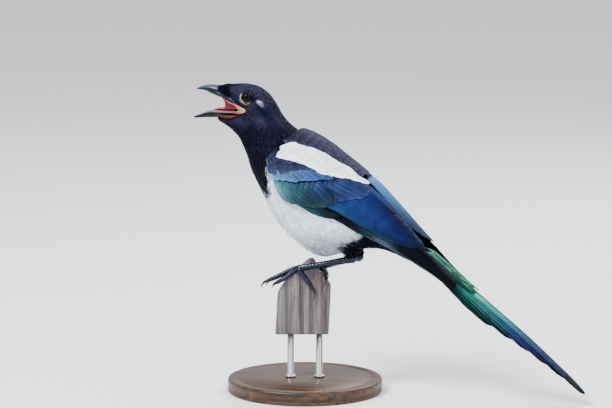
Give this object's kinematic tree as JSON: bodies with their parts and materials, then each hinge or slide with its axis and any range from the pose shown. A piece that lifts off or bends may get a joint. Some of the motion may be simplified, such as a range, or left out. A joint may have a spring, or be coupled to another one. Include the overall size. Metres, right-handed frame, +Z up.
{
  "type": "eurasian magpie, museum model",
  "caption": "Life-size young Eurasian magpie, bill open, gripping the cut pointed top of a fence picket held on a round display stand by two short rods.",
  "frame": {"origin": "centre of the display base's underside", "axes": "+X from the bill to the tail, +Y to the bird's right side, +Z up"},
  "size_m": [0.3607, 0.14, 0.2784],
  "materials": {
    "black_plumage": "satin",
    "white_plumage": "matte",
    "wing_plumage": "satin",
    "tail_plumage": "satin",
    "horn": "gloss",
    "scutes": "satin",
    "mouth": "satin",
    "gape_skin": "satin",
    "eye": "gloss",
    "weathered_wood": "matte",
    "base_wood": "satin",
    "rod_steel": "satin"
  },
  "bodies": {
    "root": {"head": "black_plumage", "neck": "black_plumage", "torso": "white_plumage", "bill_upper": "horn", "bill_lower": "horn", "tongue": "mouth", "mouth_lining": "mouth", "gape_left": "gape_skin", "gape_right": "gape_skin", "eye_left": "eye", "eye_right": "eye", "wing_left": "wing_plumage", "wing_right": "wing_plumage", "tail": "tail_plumage", "shin_left": "black_plumage", "shin_right": "black_plumage", "leg_left": "scutes", "leg_right": "scutes", "claw_left_1": "horn", "claw_left_2": "horn", "claw_left_3": "horn", "claw_left_4": "horn", "claw_right_1": "horn", "claw_right_2": "horn", "claw_right_3": "horn", "claw_right_4": "horn", "perch_picket": "weathered_wood", "stand_base": "base_wood", "stand_rod_1": "rod_steel", "stand_rod_2": "rod_steel"}
  },
  "joints": []
}
